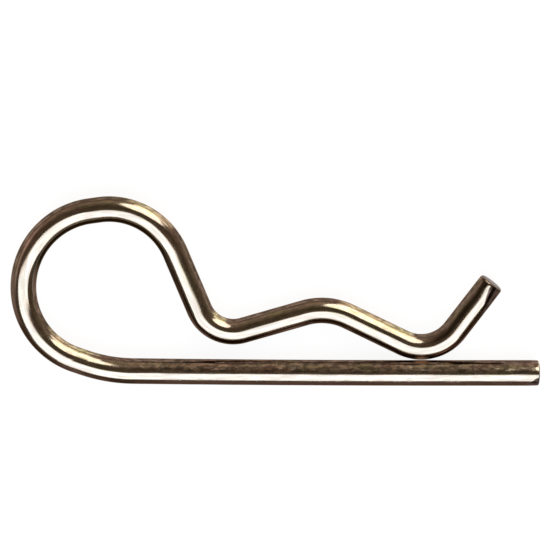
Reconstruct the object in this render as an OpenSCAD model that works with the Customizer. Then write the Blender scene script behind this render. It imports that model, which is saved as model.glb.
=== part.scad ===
// Hitch pin R clip: one length of round spring wire, bent in one plane.
// The straight leg goes through the cross hole of a hitch pin. The sprung leg rides
// over the outside of the pin, drops behind it and closes on the straight leg again.
// Frame: the origin is the centre of the saddle, on the axis of the straight leg.
// +X runs along the straight leg to its free end, +Y points to the sprung leg, and
// the middle plane of the wire is the plane Z = 0.

/* [Wire] */
// Diameter of the spring wire
wire_d = 4; // [2.5:0.1:5]
// Radius that breaks the edge of each cut end
end_round = 0.4; // [0.1:0.05:1]
// Extra radius of the section in a bend, where the bending tool upsets the wire
bend_swell = 0.01; // [0.008:0.001:0.03]

/* [Hitch pin] */
// Diameter of the shaft that the clip fits
shaft_d = 16; // [12:0.5:20]
// Distance by which the shaft springs the saddle open
shaft_grip = 0.3; // [0:0.05:1]

/* [Straight leg] */
// Reach of the leg past the centre of the saddle
leg_reach = 33.7; // [28:0.1:60]
// Distance from the pinch bend on to where the leg runs dead straight
straight_past_pinch = 3.7; // [3.6:0.1:8]
// Radius of the faint bow that coiling leaves in the rest of the leg
bow_r = 4000; // [1000:100:9000]

/* [Pull loop] */
// Distance from the throat bend back to the start of the loop
loop_behind = 14; // [12.5:0.1:30]
// Straight link between one bend of the loop and the next
loop_link = 1.5; // [0.8:0.1:3]
// Inside radius of the heel, the easy bend that lifts the wire off the leg's line
heel_inner_r = 22.5; // [15:0.5:40]
// Turn of the heel in degrees
heel_turn = 18; // [12:0.5:24]
// Inside radius of the back of the loop
back_inner_r = 9.9; // [8.5:0.1:14]
// Turn of the back of the loop in degrees
back_turn = 153.4; // [140:0.2:165]
// Inside radius of the shoulder, where the loop turns down into the sprung leg
shoulder_inner_r = 9.2; // [6:0.1:11]

/* [Sprung leg] */
// Inside radius of the throat bend, which drops behind the shaft
throat_inner_r = 3.7; // [2:0.1:6]
// Gap between the throat bend and the line of the straight leg
throat_gap = 2.4; // [0.6:0.1:5]
// Straight run that rises from the throat bend to the saddle
rise_run = 9.9; // [6:0.1:16]
// Straight run that falls from the saddle to the pinch bend
fall_run = 9.3; // [6:0.1:16]
// Inside radius of the pinch bend
pinch_inner_r = 4.6; // [2.5:0.1:7]
// Gap between the pinch bend and the straight leg
pinch_gap = 0.05; // [0.05:0.05:2]
// Angle between the flared tip and the straight leg in degrees
tip_flare = 52.2; // [35:0.2:75]
// Length of the flared tip past the pinch bend
tip_length = 9.5; // [3:0.1:14]

/* [Hidden] */
$fn = 96;
wire_r = wire_d / 2;
// Length by which a straight run enters the thicker bend beside it
lap = 0.2;

// Radii of the bends along the middle of the wire
heel_r = heel_inner_r + wire_r;
back_r = back_inner_r + wire_r;
shoulder_r = shoulder_inner_r + wire_r;
throat_r = throat_inner_r + wire_r;
saddle_r = shaft_d / 2 - shaft_grip + wire_r;
pinch_r = pinch_inner_r + wire_r;

// The sprung leg is laid out from the saddle, whose centre is the shaft's centre.
// A bend in the layout is [x, y, radius], and the radius is negative where the wire
// turns right. The throat and the pinch keep their gaps above the straight leg.
function beside_saddle(height, r, run) =
    sqrt(pow(run, 2) + pow(r + saddle_r, 2) - pow(height, 2));
throat_y = wire_d + throat_gap + throat_r;
pinch_y = wire_d + pinch_gap + pinch_r;
throat = [-beside_saddle(throat_y, throat_r, rise_run), throat_y, throat_r];
saddle = [0, 0, -saddle_r];
pinch = [beside_saddle(pinch_y, pinch_r, fall_run), pinch_y, pinch_r];

// The loop is followed along the wire. A place on the wire is [x, y, heading].
function after_bend(p, r, turn) =
    let (side = sign(turn) * r)
    [
        p.x + side * (sin(p.z + turn) - sin(p.z)),
        p.y - side * (cos(p.z + turn) - cos(p.z)),
        p.z + turn
    ];
function after_link(p) = [p.x + loop_link * cos(p.z), p.y + loop_link * sin(p.z), p.z];
bow_start = [pinch.x + straight_past_pinch, 0, 180];
bow_turn = asin((bow_start.x - throat.x + loop_behind) / bow_r);
heel_start = after_link(after_bend(bow_start, bow_r, -bow_turn));
back_start = after_link(after_bend(heel_start, heel_r, -heel_turn));
shoulder_start = after_link(after_bend(back_start, back_r, -back_turn));
shoulder = [
    shoulder_start.x + shoulder_r * sin(shoulder_start.z),
    shoulder_start.y - shoulder_r * cos(shoulder_start.z),
    -shoulder_r
];

// The straight run that touches bend a as it leaves and bend b as it arrives
function run_length(a, b) = sqrt(pow(b.x - a.x, 2) + pow(b.y - a.y, 2) - pow(b.z - a.z, 2));
function run_heading(a, b) =
    atan2(b.y - a.y, b.x - a.x) - atan2(b.z - a.z, run_length(a, b));
drop_heading = run_heading(shoulder, throat);
rise_heading = run_heading(throat, saddle);
fall_heading = run_heading(saddle, pinch);

// Each length of wire starts at the origin, heads along +X and carries what follows
module run(length) {
    translate([-lap, 0, 0])
        rotate([0, 90, 0])
            cylinder(h = length + 2 * lap, r = wire_r);
    translate([length, 0, 0])
        children();
}

// A bend turns left where its turn is positive, and right where it is negative
module bend(r, turn) {
    side = sign(turn);
    translate([0, side * r, 0])
        rotate([0, 0, -90 * side])
            rotate_extrude(angle = turn)
                translate([r, 0])
                    circle(r = wire_r + bend_swell);
    translate([r * sin(abs(turn)), side * r * (1 - cos(turn)), 0])
        rotate([0, 0, turn])
            children();
}

// The rounded rim of a cut end, set on the lap of the run that it closes
module cut_end() {
    translate([lap, 0, 0])
        rotate([0, 90, 0])
            rotate_extrude()
                rim_profile();
}

module rim_profile() {
    square([wire_r - end_round, end_round]);
    translate([wire_r - end_round, 0])
        intersection() {
            square(end_round);
            circle(r = end_round);
        }
}

// The wire starts at the free end of the straight leg and ends at the flared tip
module clip() {
    color("darkkhaki")
        translate([leg_reach - end_round - lap, 0, 0]) {
            cut_end();
            rotate([0, 0, 180])
                straight_leg();
        }
}

module straight_leg() {
    run(leg_reach - end_round - lap - bow_start.x)
        bend(bow_r, -bow_turn)
            pull_loop();
}

module pull_loop() {
    run(loop_link)
        bend(heel_r, -heel_turn)
            run(loop_link)
                bend(back_r, -back_turn)
                    run(loop_link)
                        bend(shoulder_r, drop_heading - shoulder_start.z)
                            sprung_leg();
}

module sprung_leg() {
    run(run_length(shoulder, throat))
        bend(throat_r, rise_heading - drop_heading)
            run(rise_run)
                bend(saddle_r, fall_heading - rise_heading)
                    run(fall_run)
                        flared_tip();
}

module flared_tip() {
    bend(pinch_r, tip_flare - fall_heading)
        run(tip_length - end_round - lap)
            cut_end();
}

clip();
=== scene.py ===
# %% [markdown]
# # A hitch pin R clip, bent and finished in Blender
#
# The real object is one length of round spring wire. It is drawn through a die, cut
# at both ends, bent in one plane on a set of forming tools, zinc plated and dipped in gold
# chromate. So the model is made the same way: one ring of vertices is drawn out along
# the straight runs and spun round the bends.
#
# The CAD part is loaded first as a fixed frame. It gives the size, the place and the body
# that the dressed wire rides on. Blender works in metres, so a length in millimetres is
# written as a number times MM.

# %% Load the CAD frame
import math

import bmesh
import bpy
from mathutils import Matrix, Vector


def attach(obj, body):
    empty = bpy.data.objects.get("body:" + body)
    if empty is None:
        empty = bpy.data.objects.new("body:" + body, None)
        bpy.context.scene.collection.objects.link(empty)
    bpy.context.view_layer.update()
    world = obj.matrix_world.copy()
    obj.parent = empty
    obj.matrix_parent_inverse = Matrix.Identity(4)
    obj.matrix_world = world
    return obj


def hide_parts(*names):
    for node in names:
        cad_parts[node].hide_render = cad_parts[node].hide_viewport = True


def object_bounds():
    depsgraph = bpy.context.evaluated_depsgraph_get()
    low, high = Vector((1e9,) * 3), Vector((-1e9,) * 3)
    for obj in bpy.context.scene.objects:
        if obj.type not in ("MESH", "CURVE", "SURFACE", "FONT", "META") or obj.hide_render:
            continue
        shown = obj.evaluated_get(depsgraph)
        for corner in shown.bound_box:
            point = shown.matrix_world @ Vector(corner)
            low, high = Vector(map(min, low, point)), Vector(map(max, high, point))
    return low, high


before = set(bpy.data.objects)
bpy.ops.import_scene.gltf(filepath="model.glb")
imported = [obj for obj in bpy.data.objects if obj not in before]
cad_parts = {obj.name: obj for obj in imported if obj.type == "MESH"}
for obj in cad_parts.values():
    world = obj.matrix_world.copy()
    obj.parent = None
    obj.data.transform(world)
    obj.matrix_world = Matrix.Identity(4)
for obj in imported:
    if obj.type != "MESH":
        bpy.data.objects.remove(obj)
cad_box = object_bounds()
MM = 0.001
print("CAD box in mm:", [[round(c / MM, 2) for c in corner] for corner in cad_box])

# %% [markdown]
# ## Sizes
#
# These are the driving sizes of the CAD source, repeated because this script reads nothing
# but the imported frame. A radius with "inner" in its name is measured to the inside of the
# bend, as a forming tool's is. The clip grips a shaft: its saddle is a little tighter
# than the shaft, so that it springs on. Angles are in degrees.

# %% The clip's own sizes
wire_d = 4.0 * MM
shaft_d, shaft_grip = 16.0 * MM, 0.3 * MM
leg_reach = 33.7 * MM
straight_past_pinch = 3.7 * MM
bow_r, loop_behind, loop_link = 4000.0 * MM, 14.0 * MM, 1.5 * MM
heel_inner_r, heel_turn = 22.5 * MM, 18.0
back_inner_r, back_turn = 9.9 * MM, 153.4
shoulder_inner_r = 9.2 * MM
throat_inner_r, throat_gap = 3.7 * MM, 2.4 * MM
rise_run, fall_run = 9.9 * MM, 9.3 * MM
pinch_inner_r, pinch_gap = 4.6 * MM, 0.05 * MM
tip_flare, tip_length = 52.2, 9.5 * MM

wire_r = wire_d / 2
heel_r, back_r = heel_inner_r + wire_r, back_inner_r + wire_r
shoulder_r, throat_r = shoulder_inner_r + wire_r, throat_inner_r + wire_r
pinch_r = pinch_inner_r + wire_r
saddle_r = shaft_d / 2 - shaft_grip + wire_r
print(f"wire {wire_d / MM:.1f} mm thick, saddle {saddle_r / MM:.1f} mm to the wire's centre")

# %% [markdown]
# ## Where the bends lie
#
# The wire's centreline is a chain of straight runs and round arcs that touch. It could be
# typed in as a list of points, but then a change of the wire or the shaft would break it.
# Instead a few small rules find every arc, as a toolmaker would set out the bending jig.
#
# The saddle is centred on the straight leg, because both hold the same round shaft. The
# throat and the pinch are found from it: each keeps its gap above the leg, and a straight
# run that touches both arcs joins it to the saddle.

# %% Throat, saddle and pinch
def beside_saddle(height, radius, run):
    """Distance along the leg from the saddle to a bend that sits at this height."""
    return math.sqrt(run**2 + (radius + saddle_r) ** 2 - height**2)


throat_y = wire_d + throat_gap + throat_r
pinch_y = wire_d + pinch_gap + pinch_r
throat = (-beside_saddle(throat_y, throat_r, rise_run), throat_y, throat_r)
saddle = (0.0, 0.0, -saddle_r)
pinch = (beside_saddle(pinch_y, pinch_r, fall_run), pinch_y, pinch_r)
for name, (x, y, radius) in (("throat", throat), ("saddle", saddle), ("pinch", pinch)):
    print(f"{name}: centre {x / MM:.2f}, {y / MM:.2f} mm")

# %% [markdown]
# The loop is walked from the leg's side instead: a very slight bow, the heel, the tight
# back and then the shoulder, with short straight links between them. Each step is a name,
# its kind, its length or radius, its turn to the left and its number of rings of
# vertices. The rings sit closest on the tight bends, where a facet would show.

# %% Walk round the loop
def walk(place, kind, size, turn):
    """The place (x, y, heading) at the far end of one run or bend."""
    x, y, heading = place
    start = math.radians(heading)
    if kind == "run":
        return x + size * math.cos(start), y + size * math.sin(start), heading
    side = math.copysign(size, turn)
    end = math.radians(heading + turn)
    x += side * (math.sin(end) - math.sin(start))
    y -= side * (math.cos(end) - math.cos(start))
    return x, y, heading + turn


cut_zone, cut_rings = 3.0 * MM, 4
bow_start = pinch[0] + straight_past_pinch
bow_turn = math.degrees(math.asin((bow_start - throat[0] + loop_behind) / bow_r))
loop_steps = [
    ("cut end", "run", cut_zone, 0.0, cut_rings),
    ("free end", "run", leg_reach - bow_start - cut_zone, 0.0, 11),
    ("bow", "bend", bow_r, -bow_turn, 36),
    ("heel link", "run", loop_link, 0.0, 2),
    ("heel", "bend", heel_r, -heel_turn, 18),
    ("back link", "run", loop_link, 0.0, 2),
    ("back", "bend", back_r, -back_turn, 100),
    ("shoulder link", "run", loop_link, 0.0, 2),
]
leg_start = (leg_reach, 0.0, 180.0)
loop_end = leg_start
for name, kind, size, turn, rings in loop_steps:
    loop_end = walk(loop_end, kind, size, turn)
print(f"loop ends at {loop_end[0] / MM:.2f}, {loop_end[1] / MM:.2f} mm, heading {loop_end[2]:.1f}")

# %% [markdown]
# Now both halves are known, and one straight run, the drop, has to join the shoulder to
# the throat. Two arcs that bend opposite ways have just one such inner tangent, and the
# same rule also gives the headings of the rise and the fall beside the saddle.

# %% Join the loop to the sprung leg
def tangent_run(a, b):
    """Length and heading of the straight run that leaves arc a and meets arc b.

    An arc is (x, y, radius), and the radius is negative where the wire turns right."""
    across, up, radii = b[0] - a[0], b[1] - a[1], b[2] - a[2]
    length = math.sqrt(across**2 + up**2 - radii**2)
    return length, math.degrees(math.atan2(up, across) - math.atan2(radii, length))


toward_back = math.radians(loop_end[2])
shoulder_x = loop_end[0] + shoulder_r * math.sin(toward_back)
shoulder_y = loop_end[1] - shoulder_r * math.cos(toward_back)
drop_run, drop_heading = tangent_run((shoulder_x, shoulder_y, -shoulder_r), throat)
rise_heading = tangent_run(throat, saddle)[1]
fall_heading = tangent_run(saddle, pinch)[1]
steps = loop_steps + [
    ("shoulder", "bend", shoulder_r, drop_heading - loop_end[2], 50),
    ("drop", "run", drop_run, 0.0, 8),
    ("throat", "bend", throat_r, rise_heading - drop_heading, 54),
    ("rise", "run", rise_run, 0.0, 8),
    ("saddle", "bend", saddle_r, fall_heading - rise_heading, 30),
    ("fall", "run", fall_run, 0.0, 8),
    ("pinch", "bend", pinch_r, tip_flare - fall_heading, 52),
    ("tip", "run", tip_length - cut_zone, 0.0, 7),
    ("cut tip", "run", cut_zone, 0.0, cut_rings),
]
for name, kind, size, turn, rings in steps:
    print(f"{name:14s} {kind:4s} {size / MM:8.2f} mm, turn {turn:7.2f} degrees")

# %% [markdown]
# ## Draw the wire
#
# A curve with a round bevel would also give a bent wire, but its rings crowd where arcs
# meet straights, and nothing is known about how far along the wire a point is. Extrude
# and Spin give exact arcs, and each step knows its own length. It starts with one open
# ring of vertices that stands at the free end of the straight leg.

# %% One ring at the free end of the leg
ring_vertices = 72
bpy.ops.object.select_all(action="DESELECT")
bpy.ops.mesh.primitive_circle_add(
    vertices=ring_vertices,
    radius=wire_r,
    fill_type="NOTHING",
    location=(leg_reach, 0, 0),
    rotation=(0, math.pi / 2, 0),
)
wire = bpy.context.object
wire.name = wire.data.name = "r_clip_wire"
bpy.ops.object.transform_apply(location=True, rotation=True, scale=True)
wire.data.attributes.new("unbent", "FLOAT_VECTOR", "POINT")
wire.data.attributes.new("spine_y", "FLOAT", "POINT")
print("ring of", len(wire.data.vertices), "vertices")

# %% [markdown]
# The draw lines of the die and the streaks of the chromate follow the wire round its
# bends, so the finish must know where each point lay before the bending. Unwrapping could
# tell it, but a spun tube is stretched on the outside of each bend. So every new vertex is
# stamped as it is made: "unbent" holds the distance along the wire, the offset to its
# left and the offset up, and "spine_y" holds how far from the leg's line the wire's
# centre is.

# %% Stamp the first ring
def stamp(first, place, start, kind, size, turn):
    """Tells the vertices from number first on where they lay before the bending."""
    mesh = bmesh.from_edit_mesh(wire.data)
    layer = mesh.verts.layers.float_vector["unbent"]
    spine = mesh.verts.layers.float["spine_y"]
    mesh.verts.ensure_lookup_table()
    heading = math.radians(place[2])
    ahead = Vector((math.cos(heading), math.sin(heading), 0))
    left = Vector((-math.sin(heading), math.cos(heading), 0))
    origin = Vector((place[0], place[1], 0))
    for vertex in mesh.verts[first:]:
        offset = vertex.co - origin
        if kind == "run":
            along, aside = offset.dot(ahead), offset.dot(left)
            vertex[spine] = (origin + ahead * along).y
        else:
            side = math.copysign(1.0, turn)
            spoke = offset - left * side * size
            spoke.z = 0
            swept = math.atan2(spoke.dot(ahead), -spoke.dot(left) * side)
            along, aside = swept * size, (size - spoke.length) * side
            vertex[spine] = (origin + left * side * size + spoke.normalized() * size).y
        vertex[layer] = Vector((start + along, aside, vertex.co.z))
    bmesh.update_edit_mesh(wire.data)


bpy.ops.object.mode_set(mode="EDIT")
bpy.ops.mesh.select_all(action="SELECT")
stamp(0, leg_start, 0.0, "run", 0.0, 0.0)
print("stamped the first ring at", round(leg_start[0] / MM, 2), "mm")

# %% [markdown]
# Then the ring is drawn out. Extrude leaves the new ring selected, and so does Spin, so
# each step goes on from the last one. Spin turns about the centre of the bend, and its
# angle is negative for a turn to the left.

# %% Draw it out along the runs and spin it round the bends
place = leg_start
wire_length = 0.0
for name, kind, size, turn, rings in steps:
    first = len(bmesh.from_edit_mesh(wire.data).verts)
    heading = math.radians(place[2])
    if kind == "run":
        ahead = Vector((math.cos(heading), math.sin(heading), 0)) * size / rings
        for ring in range(rings):
            bpy.ops.mesh.extrude_region_move(TRANSFORM_OT_translate={"value": ahead})
        length = size
    else:
        side = math.copysign(size, turn)
        centre = (place[0] - side * math.sin(heading), place[1] + side * math.cos(heading), 0)
        bend = -math.radians(turn)
        bpy.ops.mesh.spin(steps=rings, dupli=False, angle=bend, center=centre, axis=(0, 0, 1))
        length = size * abs(bend)
    stamp(first, place, wire_length, kind, size, turn)
    place = walk(place, kind, size, turn)
    wire_length += length
bpy.ops.object.mode_set(mode="OBJECT")
tip_place = place
print(f"wire {wire_length / MM:.2f} mm long, tip at {place[0] / MM:.2f}, {place[1] / MM:.2f}")

# %% [markdown]
# ## The cut ends
#
# A shear cuts the wire. It drags a little of the skin along before it bites, so the last
# few millimetres narrow by a hair and end in a soft rim. At the tip the photograph also
# shows the cut face from above, so that cut leans back by some degrees.
#
# A bisect could cut the slant, but it would slice through the rings and spoil the rim.
# So the rings that were made for it near each end are moved instead, and they must be
# picked one at a time: a ring is the set of vertices at one depth behind the cut.

# %% Where the two ends are
leg_end_round, tip_round = 0.28 * MM, 0.45 * MM
tip_heading = math.radians(tip_place[2])
tip_ahead = Vector((math.cos(tip_heading), math.sin(tip_heading), 0))
tip_centre = Vector((tip_place[0], tip_place[1], 0))
ends = {
    "free end": (Vector((leg_reach, 0, 0)), Vector((1, 0, 0)), leg_end_round),
    "tip": (tip_centre, tip_ahead, tip_round),
}


def pick_ring(centre, outward, depth):
    """Selects only the vertices in the plane that lies this deep behind a cut end."""
    bpy.ops.mesh.select_all(action="DESELECT")
    mesh = bmesh.from_edit_mesh(wire.data)
    hair = 0.001 * MM
    for vertex in mesh.verts:
        offset = vertex.co - centre
        vertex.select = abs(offset.dot(outward) + depth) < hair and offset.length < wire_d
    mesh.select_flush(True)
    bmesh.update_edit_mesh(wire.data)


for name, (centre, outward, end_round) in ends.items():
    print(f"{name} at {centre.x / MM:.2f}, {centre.y / MM:.2f} mm, rim {end_round / MM:.2f} mm")

# %% [markdown]
# Each ring is scaled down more, and at the tip also turned more, the nearer it is to the
# cut. The turn is about a line across the wire: turning the 3D cursor to the tip's heading
# first gives that line as the cursor's own Y axis. The last ring is then filled with
# one face, and a small bevel of a few segments makes the rim.

# %% Narrow, turn, fill and round both ends
narrowing, tip_slant = 0.02, 10.0
bpy.context.scene.cursor.rotation_euler = (0, 0, tip_heading)
bpy.ops.object.mode_set(mode="EDIT")
bpy.ops.mesh.select_mode(type="VERT")
for name, (centre, outward, end_round) in ends.items():
    for ring in reversed(range(cut_rings)):
        nearness = 1 - ring / cut_rings
        depth = cut_zone * (1 - nearness)
        middle = centre - outward * depth
        pick_ring(centre, outward, depth)
        shrink = 1 - narrowing * nearness**3
        bpy.ops.transform.resize(value=(shrink,) * 3, center_override=middle)
        if name == "tip":
            bpy.ops.transform.rotate(
                value=math.radians(tip_slant) * nearness,
                orient_axis="Y",
                orient_type="CURSOR",
                center_override=middle,
            )
    bpy.ops.mesh.edge_face_add()
    bpy.ops.mesh.bevel(offset=end_round, offset_type="OFFSET", segments=5, affect="EDGES")
    print(name, "closed, faces now", len(bmesh.from_edit_mesh(wire.data).faces))
bpy.ops.mesh.select_all(action="SELECT")
bpy.ops.mesh.normals_make_consistent(inside=False)
bpy.ops.object.mode_set(mode="OBJECT")

# %% [markdown]
# Scaling, turning and bevelling moved vertices and made new ones, so the ends are stamped
# once more. Then the wire is shaded smooth, apart from edges sharper than 40 degrees. The
# film's colour will depend on which way the surface faces on the clip. Object
# coordinates don't tell that, so each vertex's normal is kept in an attribute, "outward".

# %% Stamp the ends again, shade the wire smooth and keep its normals
layer = wire.data.attributes["unbent"]
spine = wire.data.attributes["spine_y"]
for name, start, sign in (("free end", 0.0, -1.0), ("tip", wire_length, 1.0)):
    centre, outward, end_round = ends[name]
    ahead = outward * sign
    left = Vector((-ahead.y, ahead.x, 0))
    for vertex in wire.data.vertices:
        offset = vertex.co - centre
        if offset.length < wire_d:
            along, aside = offset.dot(ahead), offset.dot(left)
            layer.data[vertex.index].vector = (start + along, aside, vertex.co.z)
            spine.data[vertex.index].value = (centre + ahead * along).y
bpy.ops.object.select_all(action="DESELECT")
wire.select_set(True)
bpy.context.view_layer.objects.active = wire
bpy.ops.object.shade_smooth_by_angle(angle=math.radians(40))
outward_layer = wire.data.attributes.new("outward", "FLOAT_VECTOR", "POINT")
for vertex in wire.data.vertices:
    outward_layer.data[vertex.index].vector = vertex.normal
print("wire:", len(wire.data.vertices), "vertices,", len(wire.data.polygons), "faces")

# %% [markdown]
# ## Helpers for node trees
#
# The finish is built from nodes. Adding one by hand takes four or five lines, so a few
# helpers are named for what they do. Each takes sockets and plain numbers alike, and
# gives back the socket that holds its result, so that they chain like arithmetic.

# %% Feed, calculate and step
def feed(tree, sockets, values):
    """Links each value that is a socket, and sets each that is a constant."""
    for socket, value in zip(sockets, values):
        if isinstance(value, bpy.types.NodeSocket):
            tree.links.new(value, socket)
        else:
            socket.default_value = value


def maths(tree, operation, a, b=0.0):
    """One arithmetic step on two numbers."""
    node = tree.nodes.new("ShaderNodeMath")
    node.operation = operation
    feed(tree, node.inputs, (a, b))
    return node.outputs[0]


def vector_maths(tree, operation, a, b=(0, 0, 0)):
    """One arithmetic step on two vectors: a number for a product or a distance."""
    node = tree.nodes.new("ShaderNodeVectorMath")
    node.operation = operation
    feed(tree, node.inputs, (a, b))
    return node.outputs["Value" if operation in ("DOT_PRODUCT", "DISTANCE") else "Vector"]


def soft_step(tree, value, low, high, at_low=0.0, at_high=1.0):
    """A smooth step from one number at low to another at high."""
    node = tree.nodes.new("ShaderNodeMapRange")
    node.interpolation_type = "SMOOTHSTEP"
    feed(tree, node.inputs, (value, low, high, at_low, at_high))
    return node.outputs["Result"]


print("helpers:", [f.__name__ for f in (feed, maths, vector_maths, soft_step)])

# %% [markdown]
# Four more helpers read a place and lay colours over each other. Noise is always asked for
# by the size of its grains in millimetres, because that can be judged on the
# photograph, and a bare scale can't.

# %% Blend, split, scatter and read
def blend(tree, factor, a, b, mode="MIX"):
    """Colour a, with colour b over it by the factor."""
    node = tree.nodes.new("ShaderNodeMix")
    node.data_type, node.blend_type = "RGBA", mode
    feed(tree, (node.inputs[0], node.inputs[6], node.inputs[7]), (factor, a, b))
    return node.outputs[2]


def split(tree, vector):
    """The three numbers of a vector."""
    node = tree.nodes.new("ShaderNodeSeparateXYZ")
    feed(tree, node.inputs, (vector,))
    return node.outputs


def noise(tree, place, grains, detail=2.0, rough=0.5):
    """Noise with grains of these lengths along, across and up the wire, in millimetres."""
    node = tree.nodes.new("ShaderNodeTexNoise")
    cells = vector_maths(tree, "DIVIDE", place, [grain * MM for grain in grains])
    feed(tree, (node.inputs["Vector"], node.inputs["Scale"]), (cells, 1.0))
    feed(tree, (node.inputs["Detail"], node.inputs["Roughness"]), (detail, rough))
    return node.outputs["Fac"]


def attribute(tree, name, output="Vector"):
    """What an attribute of the piece holds."""
    node = tree.nodes.new("ShaderNodeAttribute")
    node.attribute_name = name
    return node.outputs[output]


print("helpers:", [f.__name__ for f in (blend, split, noise, attribute)])

# %% [markdown]
# An effect that more than one finish may want is a node group: it is built once, has named
# inputs and outputs, and is placed in a material with its own values. One helper makes an
# empty group, and the other places a group and feeds it.

# %% Make and place node groups
def node_group(name, inputs, outputs):
    """An empty shader node group with these named sockets, and its two end nodes."""
    tree = bpy.data.node_groups.new(name, "ShaderNodeTree")
    for way, sockets in (("INPUT", inputs), ("OUTPUT", outputs)):
        for label, kind in sockets:
            tree.interface.new_socket(label, in_out=way, socket_type="NodeSocket" + kind)
    given = tree.nodes.new("NodeGroupInput").outputs
    return tree, given, tree.nodes.new("NodeGroupOutput").inputs


def place_group(tree, group, **values):
    """Puts a group into a material and feeds its inputs."""
    node = tree.nodes.new("ShaderNodeGroup")
    node.node_tree = group
    for label, value in values.items():
        feed(tree, (node.inputs[label],), (value,))
    return node.outputs


film, given, result = node_group(
    "chromate film and painted rim shade",
    (("Place", "Vector"), ("Outward", "Vector"), ("Grazing", "Float"), ("Pits", "Float")),
    (("Color", "Color"),),
)
print("empty group for the film, inputs:", [socket.name for socket in given if socket.name])

# %% [markdown]
# ## The gold chromate film and its painted rim shade
#
# Gold chromate over bright zinc is a clear film, far thinner than a hair, on metal that
# shines like a mirror. In the photograph it isn't one colour. Where the wire faces the eye
# it is a pale straw gold, the film's own colour. Its rims, seen at a grazing angle, are
# painted: an olive gold where they face up and right in the picture is a painted
# reflection, brown elsewhere is painted shade, and along the lower edge the painted shade
# is nearly black with ruddy patches.
#
# The shader's own thin film inputs could tint the metal too, but the colour of chromate
# comes as much from the salts in it as from its thinness. So plain colours are blended,
# by how grazing the view is and by which way the surface faces on the clip. On the
# straight leg the lower edge has more of the ruddy patches. Inside the loop, from 89 to
# 125 mm along the wire, it has none and the painted shade is darker still. The leg's
# finish goes over into that of the bends between 56 and 66 mm along the wire, where its
# slight bow ends.

# %% Film colour and painted rim shade by direction
# Straw is the film's own colour. The rim colours are painted: brown and the two near-blacks are
# painted shade, olive gold is a painted reflection, and ruddy is lighter patches in the painted
# shade.
straw = (0.45, 0.395, 0.315, 1)
brown = (0.15, 0.10, 0.072, 1)
painted_gold_reflection = (0.52, 0.41, 0.25, 1)
painted_low_shade = (0.03, 0.016, 0.010, 1)
nearly_black = (0.010, 0.006, 0.004, 1)
ruddy = (0.11, 0.062, 0.047, 1)
up_and_right = (0.53, 0.848, 0)
leg_part, bent_part = 56.0 * MM, 66.0 * MM
loop_from, loop_to, fade = 89.0 * MM, 125.0 * MM, 3.0 * MM

facing = split(film, given["Outward"])
sideways = vector_maths(film, "MULTIPLY", given["Outward"], (1, 1, 0))
sideways = vector_maths(film, "NORMALIZE", sideways)
turned = vector_maths(film, "DOT_PRODUCT", sideways, up_and_right)
rim = blend(film, soft_step(film, turned, 0.93, 0.99), brown, painted_gold_reflection)
distance_along = split(film, given["Place"])["X"]
ruddy_patches = soft_step(film, noise(film, given["Place"], (4.0, 2.0, 2.0)), 0.46, 0.70)
before_loop = soft_step(film, distance_along, loop_from - fade, loop_from + fade, 1.0, 0.0)
past_loop = soft_step(film, distance_along, loop_to - fade, loop_to + fade)
off_loop = maths(film, "MAXIMUM", before_loop, past_loop)
ruddy_patches = maths(film, "MULTIPLY", ruddy_patches, off_loop)
leg_ruddy_patches = soft_step(film, distance_along, leg_part, bent_part, 0.55, 0.0)
ruddy_patches = maths(film, "MAXIMUM", ruddy_patches, leg_ruddy_patches)
# Painted shade along the lower rim, darker inside the loop.
painted_dark_rim = blend(film, off_loop, nearly_black, painted_low_shade)
low_rim = soft_step(film, facing["Y"], 0.05, -0.40)
rim = blend(film, low_rim, rim, blend(film, ruddy_patches, painted_dark_rim, ruddy))
colour = blend(film, soft_step(film, given["Grazing"], 0.34, 0.20), rim, straw)
print("film so far:", len(film.nodes), "nodes")

# %% [markdown]
# The film is also uneven in itself. Where it dried slowly it drifts to mauve, and
# elsewhere to olive. Finer streaks follow the draw lines of the wire, and it is pitted
# like orange peel. The drift and the pits show most on the side that faces up in the
# picture. Each is a noise in the unbent wire's own coordinates, so that the marks
# run round the bends with it.

# %% Clouds, streaks and pits
mauve_tint, olive_tint = (1.06, 0.94, 0.95, 1), (0.92, 0.98, 0.82, 1)
cloud = noise(film, given["Place"], (5.0, 1.2, 1.2), 3.0)
cloudy = soft_step(film, facing["Y"], -0.02, 0.12, 0.35, 1.0)
tinted = blend(film, 1.0, colour, mauve_tint, "MULTIPLY")
drift = maths(film, "MULTIPLY", cloudy, soft_step(film, cloud, 0.50, 0.66))
colour = blend(film, drift, colour, tinted)
tinted = blend(film, 1.0, colour, olive_tint, "MULTIPLY")
drift = maths(film, "MULTIPLY", cloudy, soft_step(film, cloud, 0.48, 0.34))
colour = blend(film, drift, colour, tinted)

streak = noise(film, given["Place"], (3.0, 0.3, 0.3))
streaked = soft_step(film, streak, 0.35, 0.65, 0.84, 1.12)
colour = blend(film, 1.0, colour, streaked, "MULTIPLY")

peel = noise(film, given["Place"], (1.2, 0.6, 0.6), 2.0, 0.6)
pitted = soft_step(film, peel, 0.40, 0.62, 0.62, 1.42)
pitted = blend(film, 1.0, colour, pitted, "MULTIPLY")
upper_side = soft_step(film, facing["Y"], -0.02, 0.12)
colour = blend(film, maths(film, "MULTIPLY", upper_side, given["Pits"]), colour, pitted)
feed(film, (result["Color"],), (colour,))
print("chromate film and painted rim shade:", len(film.nodes), "nodes")

# %% [markdown]
# ## Scuffs
#
# Clips are plated and shipped loose in a barrel, so they rub on each other. The rubs are
# short, lie along the wire and come in patches. They hardly change the colour, but they
# blur the reflections. So this group gives a mask for the roughness: fine grains that
# are deepened by broad patches. Both finishes of the clip use it.

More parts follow.
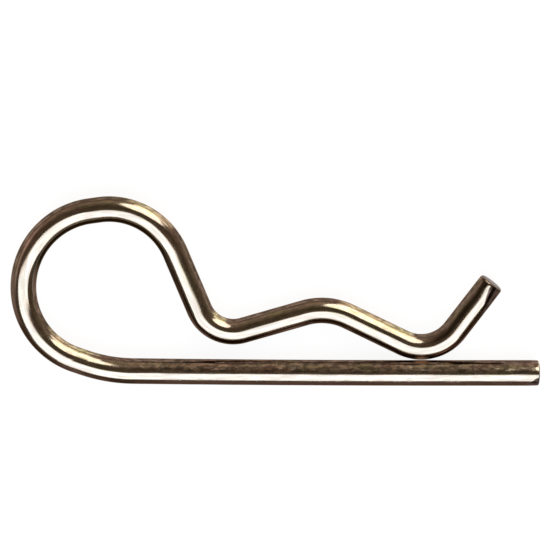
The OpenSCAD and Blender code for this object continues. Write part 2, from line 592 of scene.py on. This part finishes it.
# %% Group for handling scuffs
scuffs, given, result = node_group(
    "handling scuffs", (("Place", "Vector"), ("Amount", "Float")), (("Mask", "Float"),)
)
rub = noise(scuffs, given["Place"], (1.3, 0.6, 0.6), 2.0, 0.6)
patch = noise(scuffs, given["Place"], (6.0, 2.0, 2.0), 1.0)
worn_down = maths(scuffs, "ADD", rub, maths(scuffs, "MULTIPLY", patch, 0.5))
mask = soft_step(scuffs, worn_down, 0.81, 0.97)
feed(scuffs, (result["Mask"],), (maths(scuffs, "MULTIPLY", mask, given["Amount"]),))
print("handling scuffs:", len(scuffs.nodes), "nodes")

# %% [markdown]
# ## The drawn wire's material
#
# The shader's Specular Tint darkens the metal a little at grazing angles, as the film
# does. The straight leg is scuffed most, and the bends less, because the forming tools
# burnish them. So the amount of scuffs falls off where the leg's slight bow ends. A narrow
# strip along the top of the wire, where the bright band begins, keeps its shine.
#
# Layer Weight measures how grazing the view is. It stays here in the material, since a
# group gives only colours and masks.

# %% Film and scuffs on the wire
chromate = bpy.data.materials.new("gold chromate on drawn wire")
chromate.use_nodes = True
tree = chromate.node_tree
shader = tree.nodes["Principled BSDF"]
shader.inputs["Specular Tint"].default_value = (0.55, 0.50, 0.46, 1)
unbent, outward = attribute(tree, "unbent"), attribute(tree, "outward")
along, aside = split(tree, unbent)["X"], split(tree, unbent)["Y"]

crest_middle = -0.08
off_crest = maths(tree, "SUBTRACT", split(tree, outward)["Y"], crest_middle)
off_crest = soft_step(tree, maths(tree, "ABSOLUTE", off_crest), 0.15, 0.36)
on_leg = soft_step(tree, along, leg_part, bent_part, 1.0, 0.25)
amount = maths(tree, "MULTIPLY", on_leg, off_crest)
scuffed = place_group(tree, scuffs, Place=unbent, Amount=amount)["Mask"]

# Layer Weight's grazing value decides where the film's painted rim shade lies.
view = tree.nodes.new("ShaderNodeLayerWeight")
feed(tree, (view.inputs["Blend"],), (0.5,))
grazing = view.outputs["Facing"]
pits_on_leg = soft_step(tree, along, leg_part, bent_part, 1.0, 0.35)
pits = maths(tree, "MAXIMUM", pits_on_leg, soft_step(tree, grazing, 0.30, 0.42))
sockets = place_group(tree, film, Place=unbent, Outward=outward, Grazing=grazing, Pits=pits)
colour = sockets["Color"]
print(f"leg finish to {leg_part / MM:.0f} mm along the wire, bend finish from {bent_part / MM:.0f}")

# %% [markdown]
# ## Painted shade at the cut ends
#
# In the photograph the bright band narrows towards the tip, where a dark wedge cuts its
# side. The free end of the leg has a smaller one. Both wedges are painted shade: a dark
# colour stands in for the sheared surface turning away from the lamp. A wedge is the part
# of the surface beyond a line that crosses the wire slantwise, so its mask compares the
# offset to the side with a line that moves as the distance along the wire grows. A crease
# in the mesh would mirror the white floor instead.

# %% Painted shade wedges at both cut ends
def painted_wedge(begin, end, edge_at_begin, edge_at_end):
    """Mask of the wire beyond a line that slants from one offset to another.

    Offsets are to the left, in wire radii, and the mask lies on the side of the first."""
    line = soft_step(tree, along, begin, end, edge_at_begin * wire_r, edge_at_end * wire_r)
    soft = math.copysign(0.1 * MM, edge_at_begin)
    beyond = soft_step(tree, maths(tree, "SUBTRACT", aside, line), -soft, soft)
    near_end = soft_step(tree, along, begin, begin + (end - begin) * 0.1)
    return maths(tree, "MULTIPLY", beyond, near_end)


tip_painted_shade = painted_wedge(wire_length - 5.2 * MM, wire_length - 0.4 * MM, -0.66, 0.0)
leg_painted_shade = painted_wedge(2.0 * MM, 0.0, 0.80, 0.30)
# A dark, mottled colour for the painted shade in the wedges.
shade_mottle = soft_step(tree, noise(tree, unbent, (1.2, 0.4, 0.4)), 0.40, 0.62)
painted_cut_shade = blend(tree, shade_mottle, (0.032, 0.020, 0.015, 1), (0.10, 0.066, 0.056, 1))
colour = blend(tree, maths(tree, "MAXIMUM", tip_painted_shade, leg_painted_shade), colour, painted_cut_shade)
print("painted cut-end shade with the film:", len(tree.nodes), "nodes")

# %% [markdown]
# ## Painted shade inside the flare
#
# The inner side of the flared tip, to the left of the wire's heading, is darker in the
# photograph, and that darkness is painted shade. The mask is a strip along the wire that
# starts within the pinch bend and has two soft edges, and a darker colour is multiplied
# over the film there. A dark card in the room could shade it too, but the outside of the
# loop faces the same way, and there the wire is light.

# %% Painted shade inside the flare
flare_start = wire_length - (tip_length + pinch_r)
flare_shade_mask = soft_step(tree, along, flare_start, flare_start + 4.0 * MM)
near_edge = soft_step(tree, aside, 0.12 * wire_r, 0.30 * wire_r)
far_edge = soft_step(tree, aside, 0.80 * wire_r, 0.62 * wire_r)
flare_shade_mask = maths(tree, "MULTIPLY", flare_shade_mask, near_edge)
flare_shade_mask = maths(tree, "MULTIPLY", flare_shade_mask, far_edge)
# The painted shade's colour, multiplied over the film.
painted_flare_shade = blend(tree, 1.0, colour, (0.38, 0.36, 0.33, 1), "MULTIPLY")
colour = blend(tree, flare_shade_mask, colour, painted_flare_shade)
print(f"painted flare shade from {flare_start / MM:.1f} mm along the wire")

# %% [markdown]
# ## Painted bounce light where the pinch meets the leg
#
# The pinch closes on the leg. Where the two meet, light bounces between them, and this
# spot paints that bounce light as a dull brown: it gets its own colour, less Metallic and
# more roughness, by its distance from the point of contact.

# %% Painted bounce light where the pinch touches the leg
contact = (pinch[0], wire_r, 0)
here = tree.nodes.new("ShaderNodeTexCoord").outputs["Object"]
from_contact = vector_maths(tree, "DISTANCE", here, contact)
# Mask of the painted bounce light around the point of contact.
painted_bounce = soft_step(tree, from_contact, 1.9 * MM, 0.6 * MM)
colour = blend(tree, painted_bounce, colour, (0.42, 0.24, 0.12, 1))
feed(tree, (shader.inputs["Base Color"],), (colour,))
metal = maths(tree, "SUBTRACT", 1.0, maths(tree, "MULTIPLY", painted_bounce, 0.75))
feed(tree, (shader.inputs["Metallic"],), (metal,))

rough = soft_step(tree, along, leg_part, bent_part, 0.15, 0.12)
rough = maths(tree, "ADD", rough, maths(tree, "MULTIPLY", scuffed, 0.20))
rough = maths(tree, "ADD", rough, maths(tree, "MULTIPLY", painted_bounce, 0.4))
feed(tree, (shader.inputs["Roughness"],), (rough,))
print("contact at", [round(c / MM, 2) for c in contact], "mm")

# %% [markdown]
# ## A twist that only the light sees
#
# The real clip isn't quite flat. The way its highlights wander shows that the bent side
# climbs out of the leg's plane by some degrees. The CAD part is flat, and the wire must
# stay in its box, so the mesh stays flat too and the tilt is given to the light alone: a
# bump whose height grows evenly over centimetres acts as a small turn of the surface.
# The bent side leans away from the leg, its centre climbs with its distance from the leg,
# and the leg itself rises towards its free end. The shear has also turned the skin of
# the last millimetres at the tip.

# %% Long, gentle slopes for the bump
here_y = split(tree, here)["Y"]
past_leg = maths(tree, "MAXIMUM", maths(tree, "SUBTRACT", here_y, wire_r), 0.0)
off_leg = maths(tree, "MAXIMUM", attribute(tree, "spine_y", "Fac"), 0.0)
to_free_end = maths(tree, "MAXIMUM", maths(tree, "SUBTRACT", 58.0 * MM, along), 0.0)
slopes = ((past_leg, 0.07), (off_leg, 0.13), (to_free_end, 0.09))
drag = soft_step(tree, along, wire_length - 3.5 * MM, wire_length - 0.5 * MM, 0.0, 0.22)
twist = maths(tree, "MULTIPLY", aside, drag)
for distance, slope in slopes:
    twist = maths(tree, "ADD", twist, maths(tree, "MULTIPLY", distance, slope))
    print(f"a slope of {slope} turns the surface by {math.degrees(math.atan(slope)):.1f} degrees")

# %% [markdown]
# Two finer bumps are added: a slow wave, because wire that was straightened on rollers is
# never quite straight, and the draw lines that the die leaves, three thousandths of a
# millimetre deep. Strength and Distance of the Bump node stay at 1, so that the height is
# a true length.

# %% Waves and draw lines
def bump(tree, shader, height):
    """Feeds a height in metres to a shader's normal."""
    node = tree.nodes.new("ShaderNodeBump")
    sockets = (node.inputs["Strength"], node.inputs["Distance"], node.inputs["Height"])
    feed(tree, sockets, (1.0, 1.0, height))
    feed(tree, (shader.inputs["Normal"],), (node.outputs["Normal"],))


wave = maths(tree, "MULTIPLY", noise(tree, unbent, (6.0, 3.3, 3.3), 1.0), 0.06 * MM)
die_lines = maths(tree, "MULTIPLY", noise(tree, unbent, (8.0, 0.15, 0.15), 1.0), 0.003 * MM)
bump(tree, shader, maths(tree, "ADD", twist, maths(tree, "ADD", wave, die_lines)))
print("gold chromate on drawn wire:", len(tree.nodes), "nodes")

# %% [markdown]
# ## The sheared faces
#
# A cut face is torn, not drawn. It is plated with the rest, but the film lies on rough
# steel and looks dull and mauve. It gets a second material with the same scuffs group, a
# higher roughness and a coarser bump whose grains stand upright, the way the blade went.

# %% Material of the cut faces
torn = bpy.data.materials.new("gold chromate on sheared steel")
torn.use_nodes = True
tree = torn.node_tree
shader = tree.nodes["Principled BSDF"]
shader.inputs["Metallic"].default_value = 1.0
unbent = attribute(tree, "unbent")
scraped = place_group(tree, scuffs, Place=unbent, Amount=1.0)["Mask"]
colour = blend(tree, scraped, (0.17, 0.115, 0.092, 1), (0.34, 0.26, 0.215, 1))
feed(tree, (shader.inputs["Base Color"],), (colour,))
rough = maths(tree, "ADD", maths(tree, "MULTIPLY", scraped, 0.15), 0.38)
feed(tree, (shader.inputs["Roughness"],), (rough,))
tear = maths(tree, "MULTIPLY", noise(tree, unbent, (0.4, 0.2, 1.2)), 0.03 * MM)
bump(tree, shader, tear)
print("gold chromate on sheared steel:", len(tree.nodes), "nodes")

# %% [markdown]
# The faces at the two ends are found by place and direction: they lie near a cut and face
# more outwards than sideways. That takes the flat face and the outer part of its rim.

# %% Give each face its finish
wire.data.materials.clear()
wire.data.materials.append(chromate)
wire.data.materials.append(torn)
for face in wire.data.polygons:
    for centre, outward, end_round in ends.values():
        if (face.center - centre).length < wire_d and face.normal.dot(outward) > 0.5:
            face.material_index = 1
print("torn faces:", sum(face.material_index for face in wire.data.polygons))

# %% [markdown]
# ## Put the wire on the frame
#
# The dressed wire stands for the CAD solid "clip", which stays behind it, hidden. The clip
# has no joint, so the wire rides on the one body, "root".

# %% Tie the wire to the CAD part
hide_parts("clip")
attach(wire, "root")
print("tied to the CAD part:", wire.name)

# %% [markdown]
# ## The floor
#
# The clip lies on white paper. Paper lit to pure white would need strong lamps, which
# would wash out the metal. So it has its own glow, but only for rays that come from the
# camera or off the metal. The lamps stay modest, the wire's lower flanks mirror the
# white, and a faint shadow still falls where the wire shades the paper.

# %% White paper on the floor
floor_size, paper_glow = 4.0, 0.92
bpy.ops.object.select_all(action="DESELECT")
bpy.ops.mesh.primitive_plane_add(size=floor_size, location=(0, 0, cad_box[0].z))
floor = bpy.context.object
floor.name = "floor"
paper = bpy.data.materials.new("white paper")
paper.use_nodes = True
tree = paper.node_tree
shader = tree.nodes["Principled BSDF"]
shader.inputs["Base Color"].default_value = (0.12, 0.12, 0.12, 1)
shader.inputs["Roughness"].default_value = 0.9
shader.inputs["Specular IOR Level"].default_value = 0.0
shader.inputs["Emission Color"].default_value = (1, 1, 1, 1)
rays = tree.nodes.new("ShaderNodeLightPath").outputs
seen = maths(tree, "MAXIMUM", rays["Is Camera Ray"], rays["Is Glossy Ray"])
seen = maths(tree, "MAXIMUM", seen, rays["Is Transmission Ray"])
glow = maths(tree, "MULTIPLY", seen, paper_glow)
feed(tree, (shader.inputs["Emission Strength"],), (glow,))
floor.data.materials.append(paper)
print(f"floor at {cad_box[0].z / MM:.2f} mm")

# %% [markdown]
# ## The lamps
#
# On polished wire one sees the lamps themselves, so their shapes make the picture. A spot
# of the wire that leans by some angle mirrors what stands at twice that angle from
# straight up, and that tells where each lamp must be. The long white band is a wide
# softbox in front. Like a real one it is brighter in its middle than at its rim, so a
# second, slightly smaller lamp hangs just before it. That one is cool, so that the straw
# film shows the middle as a warm white and not as lemon. A lamp's power is spread over
# its size, so the helper asks for a brightness and works the power out.

# %% Key softbox with its bright middle
def softbox(name, centre, aim, size, brightness, colour, shape="RECTANGLE"):
    """A lamp that faces aim and, seen in a mirror, is this bright."""
    lamp = bpy.data.lights.new(name, "AREA")
    lamp.shape = shape
    lamp.size, lamp.size_y = size
    area = size[0] * size[1] * (math.pi / 4 if shape == "ELLIPSE" else 1)
    lamp.energy = brightness * math.pi * area
    lamp.color = colour
    holder = bpy.data.objects.new(name, lamp)
    bpy.context.scene.collection.objects.link(holder)
    holder.location = centre
    holder.rotation_mode = "QUATERNION"
    holder.rotation_quaternion = (Vector(aim) - Vector(centre)).to_track_quat("-Z", "Y")
    print(f"{name}: {lamp.energy:.2f} W")


def aloft(tilt, compass):
    """The unit vector this far from straight up, towards this compass angle, in degrees."""
    t, c = math.radians(tilt), math.radians(compass)
    return Vector((math.sin(t) * math.cos(c), math.sin(t) * math.sin(c), math.cos(t)))


def front_lamp(name, distance, left, right, top, low, brightness, colour):
    """A lamp in front, 45 degrees up, with its edges given as slopes seen from the clip."""
    front, down_slope = aloft(45, -90), aloft(135, -90)
    middle = Vector(((left + right) / 2, 0, 0)) + (top + low) / 2 * down_slope
    centre = distance * (front + middle)
    size = (distance * (right - left), distance * (low - top))
    softbox(name, centre, centre - front, size, brightness, colour)


white, cool = (1.0, 1.0, 1.0), (0.54, 0.68, 1.0)
front_lamp("key softbox", 0.50, -1.0, 0.87, -0.57, 0.66, 1.6, white)
front_lamp("bright middle of the key", 0.49, -0.97, 0.80, -0.48, 0.54, 1.35, cool)

# %% [markdown]
# The short highlights on the bends come from a second softbox, up and to the right in
# the picture. They end in points, like a lens, so its face is an ellipse. The golden edge
# beyond them comes from a card that stands lower on the same side. Both are warm, as
# light is that comes off a gold reflector.

# %% Oval softbox and gold card
away = 1.2
cream, gold = (1.0, 0.94, 0.86), (1.0, 0.90, 0.76)
oval_centre = away * aloft(49, 58)
softbox("oval softbox", oval_centre, (0, 0, 0), (0.86, 1.06), 2.8, cream, "ELLIPSE")
softbox("gold card", away * aloft(77, 53), (0, 0, 0), (0.8, 0.34), 1.8, gold)

# %% [markdown]
# ## The room
#
# Between the lamps the wire mirrors the room. In the photograph that is a dim brown,
# darkest overhead and lighter towards the far side. So the world is a soft step between
# two browns by direction. A low window on the left puts the mauve sheen on the
# outside of the loop.

# %% World
world = bpy.data.worlds.new("dim room")
bpy.context.scene.world = world
world.use_nodes = True
room = world.node_tree
sky = room.nodes.new("ShaderNodeTexCoord").outputs["Generated"]


def lobe(direction, edge, core):
    """A soft round mask about a direction, by the cosines of its edge and its core."""
    return soft_step(room, vector_maths(room, "DOT_PRODUCT", sky, direction), edge, core)


overhead, far_side = (0.10, 0.072, 0.048, 1), (0.36, 0.26, 0.20, 1)
window = (0.60, 0.46, 0.40, 1)
shade = blend(room, lobe(aloft(45, -90), 0.5, -0.5), overhead, far_side)
shade = blend(room, lobe(aloft(88, 172), 0.80, 0.97), shade, window)
feed(room, (room.nodes["Background"].inputs["Color"],), (shade,))
print("dim room:", len(room.nodes), "nodes")

# %% [markdown]
# ## The camera
#
# The photograph looks straight down on the lying clip, through a long lens that keeps its
# near and far sides the same size. Two things measured on it place the camera: how many
# millimetres a pixel covers, and the pixel where the part's origin lies. It stands above
# the middle of the picture, as high as its lens needs to take in the picture's width.

# %% Camera
picture, mm_per_pixel = 550, 0.15526
origin_column, origin_row = 321.65, 372.90
lens, sensor = 150.0, 36.0
centre_x = (picture / 2 - origin_column) * mm_per_pixel * MM
centre_y = (origin_row - picture / 2) * mm_per_pixel * MM
height = picture * mm_per_pixel * MM * lens / sensor
camera_data = bpy.data.cameras.new("overhead camera")
camera = bpy.data.objects.new("overhead camera", camera_data)
bpy.context.scene.collection.objects.link(camera)
camera_data.lens, camera_data.sensor_width = lens, sensor
camera_data.clip_start, camera_data.clip_end = 0.01, 10.0
camera.location = (centre_x, centre_y, height)
bpy.context.scene.camera = camera
bpy.context.scene.view_settings.view_transform = "Standard"
print("camera at", [round(c / MM, 1) for c in camera.location], "mm")
